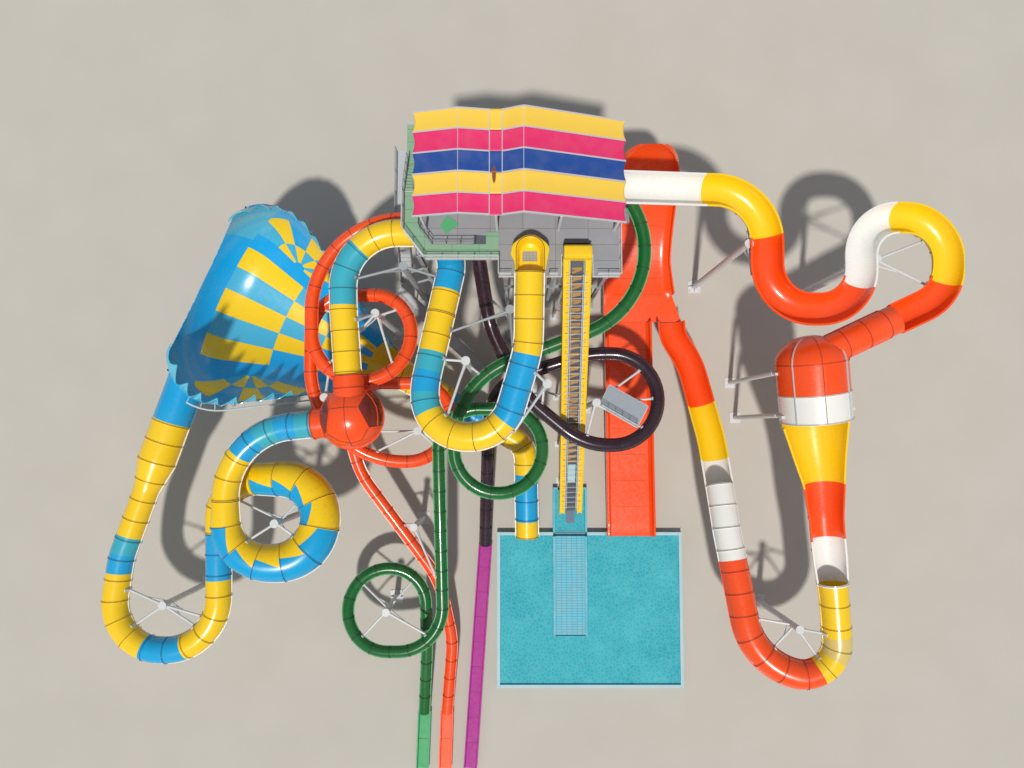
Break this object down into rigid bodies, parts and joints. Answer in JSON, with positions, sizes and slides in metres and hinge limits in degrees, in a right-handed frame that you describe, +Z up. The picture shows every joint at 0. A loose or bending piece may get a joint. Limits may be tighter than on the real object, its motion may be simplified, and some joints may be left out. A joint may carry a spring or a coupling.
{
  "type": "1:2 scale model of a water slide tower",
  "caption": "Water slide tower with a striped canopy, raft flumes through a sphere, funnel, capsule and rising wall, body slides, a raft conveyor and a splash pool.",
  "frame": {"origin": "centre of the underside of the tower's west front leg foot, on the ground", "axes": "+X east along the tower's front, +Y north to the tower's back, +Z up"},
  "size_m": [34.1701, 27.4939, 10.565],
  "materials": {
    "galvanised_frame": "weathered grey paint",
    "white_steel": "white paint, rust at the joints",
    "yellow_steel": "yellow paint",
    "grey_deck": "worn deck coating",
    "green_deck": "worn green deck coating",
    "pink_cloth": "stretched canopy cloth",
    "yellow_cloth": "stretched canopy cloth",
    "blue_cloth": "stretched canopy cloth",
    "yellow_fibreglass": "gloss gel coat",
    "cyan_fibreglass": "gloss gel coat",
    "orange_fibreglass": "gloss gel coat",
    "white_fibreglass": "gloss gel coat",
    "green_fibreglass": "gloss gel coat",
    "purple_fibreglass": "gloss gel coat",
    "belt_rubber": "ribbed dark belt",
    "painted_concrete": "light blue painted concrete"
  },
  "bodies": {
    "root": {"tower_frame": "galvanised_frame", "main_deck": "grey_deck", "lower_deck": "grey_deck", "green_walkway": "green_deck", "deck_railing": "white_steel", "canopy_frame": "white_steel", "canopy_pink_south": "pink_cloth", "canopy_yellow_south": "yellow_cloth", "canopy_blue": "blue_cloth", "canopy_pink_north": "pink_cloth", "canopy_yellow_north": "yellow_cloth", "ground_stair_lower": "galvanised_frame", "ground_stair_upper": "galvanised_frame", "tower_stair_west": "galvanised_frame", "tower_stair_north": "galvanised_frame", "inner_stair": "green_deck", "green_stair": "green_deck", "start_hood": "yellow_fibreglass", "raft_tube_upper": "cyan_fibreglass", "raft_tube_west": "yellow_fibreglass", "raft_sphere": "orange_fibreglass", "sphere_outlet_tube": "cyan_fibreglass", "spiral_tube": "yellow_fibreglass", "return_tube": "cyan_fibreglass", "funnel": "cyan_fibreglass", "funnel_outlet": "yellow_fibreglass", "wide_flume_first": "white_fibreglass", "wide_flume_second": "yellow_fibreglass", "capsule": "orange_fibreglass", "taper": "yellow_fibreglass", "wide_return_tube": "orange_fibreglass", "rising_flume": "white_fibreglass", "orange_wall": "orange_fibreglass", "wall_frame": "white_steel", "wall_runout": "orange_fibreglass", "orange_tube_upper": "orange_fibreglass", "orange_tube_lower": "orange_fibreglass", "green_tube_upper": "green_fibreglass", "green_tube_lower": "green_fibreglass", "purple_tube": "purple_fibreglass", "orange_loop_mast": "white_steel", "sphere_mast": "white_steel", "centre_mast": "white_steel", "orange_mast": "white_steel", "lane_mast": "white_steel", "green_mast": "white_steel", "spiral_mast": "white_steel", "return_mast": "white_steel", "bend_mast": "white_steel", "flume_mast_west": "white_steel", "flume_mast_east": "white_steel", "funnel_cradle": "white_steel", "capsule_frame": "white_steel", "conveyor_frame": "yellow_steel", "conveyor_belt": "belt_rubber", "loop_platform": "white_steel", "splash_pool": "painted_concrete", "conveyor_trough": "painted_concrete"}
  },
  "joints": []
}
